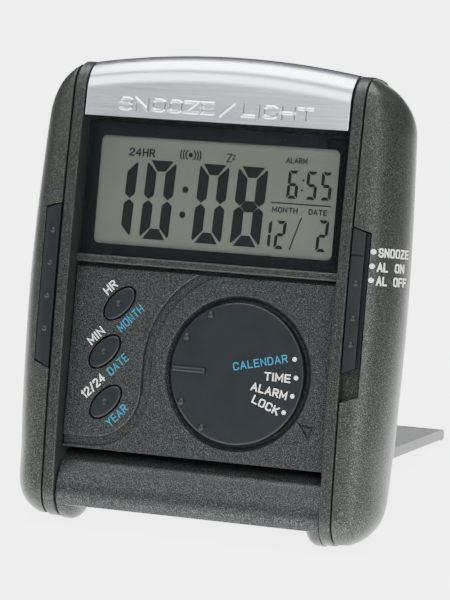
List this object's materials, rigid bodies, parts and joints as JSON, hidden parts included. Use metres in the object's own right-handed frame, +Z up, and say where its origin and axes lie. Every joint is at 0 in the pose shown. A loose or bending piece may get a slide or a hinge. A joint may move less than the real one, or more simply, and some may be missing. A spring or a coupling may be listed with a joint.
{
  "type": "folding travel alarm clock",
  "caption": "Fold-up digital travel alarm clock whose front cover swings under the housing as a stand, with display, mode dial, keys, alarm slider and snooze bar.",
  "frame": {"origin": "centre of the bounding box at table level", "axes": "+X to the viewer's right, +Y from the face towards the stand, +Z up"},
  "size_m": [0.0804, 0.0822, 0.0931],
  "materials": {
    "case_paint": "satin metallic paint with fine flakes",
    "rail_paint": "satin metallic paint with fine flakes",
    "panel_paint": "satin metallic paint with fine flakes",
    "dark_plastic": "matte moulded plastic",
    "grip_plastic": "matte moulded plastic",
    "silver_plate": "satin silver plating, finely brushed",
    "window": "clear polished plastic",
    "window_mask": "gloss black print",
    "lcd": "olive grey reflective display",
    "light_guide": "clear light guide",
    "ribbon": "flexible film",
    "board_green": "solder mask",
    "chip_black": "matte epoxy",
    "can_metal": "bright can",
    "ceramic": "ceramic",
    "silicone": "soft silicone",
    "brass_disc": "bright",
    "spring_steel": "bright",
    "cell_jacket": "printed jacket",
    "nickel": "nickel plated",
    "cradle_black": "matte moulded plastic",
    "door_plastic": "satin metallic paint",
    "screw_steel": "black zinc",
    "cover_paint": "satin metallic paint with fine flakes",
    "pin_steel": "ground"
  },
  "bodies": {
    "housing": {"front_case": "case_paint", "rear_case": "case_paint", "right_side_rail": "rail_paint", "left_side_rail": "rail_paint", "left_grip_insert": "grip_plastic", "control_panel": "panel_paint", "display_window": "window", "display_frame": "window_mask", "lcd_glass": "lcd", "backlight_panel": "light_guide", "lcd_ribbon": "ribbon", "circuit_board": "board_green", "clock_chip": "chip_black", "quartz_crystal": "can_metal", "capacitor": "can_metal", "chip_resistors": "ceramic", "key_mat": "silicone", "piezo_buzzer": "brass_disc", "buzzer_holder": "cradle_black", "snooze_spring_left": "spring_steel", "snooze_spring_right": "spring_steel", "snooze_switch": "chip_black", "slider_board": "board_green", "battery_cell_lower": "cell_jacket", "battery_cell_upper": "cell_jacket", "battery_contacts": "nickel", "battery_cradle": "cradle_black", "case_screws": "screw_steel", "hinge_pin_left": "pin_steel", "hinge_pin_right": "pin_steel", "hinge_washer_left": "cradle_black", "hinge_washer_right": "cradle_black"},
    "cover": {"stand_cover": "cover_paint"},
    "dial": {"mode_dial": "dark_plastic", "dial_wiper": "spring_steel", "dial_screw": "pin_steel"},
    "snooze": {"snooze_bar": "silver_plate"},
    "slider": {"alarm_slider": "grip_plastic", "slider_contact": "spring_steel"},
    "hour_key": {"hour_button": "dark_plastic"},
    "minute_key": {"minute_button": "dark_plastic"},
    "format_key": {"format_button": "dark_plastic"},
    "door": {"battery_door": "door_plastic"}
  },
  "joints": [
    {"name": "cover_hinge", "type": "hinge", "parent": "housing", "child": "cover", "pos_m": [0, -0.0341, 0.0061], "axis": [-1, 0, 0], "range_deg": [0, 276.4]},
    {"name": "dial_turn", "type": "hinge", "parent": "housing", "child": "dial", "pos_m": [0.00823, -0.03077, 0.03261], "axis": [0, 0.9613, -0.2756], "range_deg": [0, 50.5]},
    {"name": "alarm_slide", "type": "slide", "parent": "housing", "child": "slider", "axis": [0, -0.2756, -0.9613], "range_m": [0, 0.0056]},
    {"name": "snooze_press", "type": "slide", "parent": "housing", "child": "snooze", "axis": [0, -0.2756, -0.9613], "range_m": [0, 0.0007], "stiffness_N_per_m": 600, "springref_m": -0.0005},
    {"name": "hour_press", "type": "slide", "parent": "housing", "child": "hour_key", "axis": [0, 0.9613, -0.2756], "range_m": [0, 0.0005], "stiffness_N_per_m": 1500, "springref_m": -0.0003},
    {"name": "minute_press", "type": "slide", "parent": "housing", "child": "minute_key", "axis": [0, 0.9613, -0.2756], "range_m": [0, 0.0005], "stiffness_N_per_m": 1500, "springref_m": -0.0003},
    {"name": "format_press", "type": "slide", "parent": "housing", "child": "format_key", "axis": [0, 0.9613, -0.2756], "range_m": [0, 0.0005], "stiffness_N_per_m": 1500, "springref_m": -0.0003},
    {"name": "door_pull", "type": "slide", "parent": "housing", "child": "door", "axis": [0, 0.9613, -0.2756], "range_m": [0, 0.012]}
  ]
}
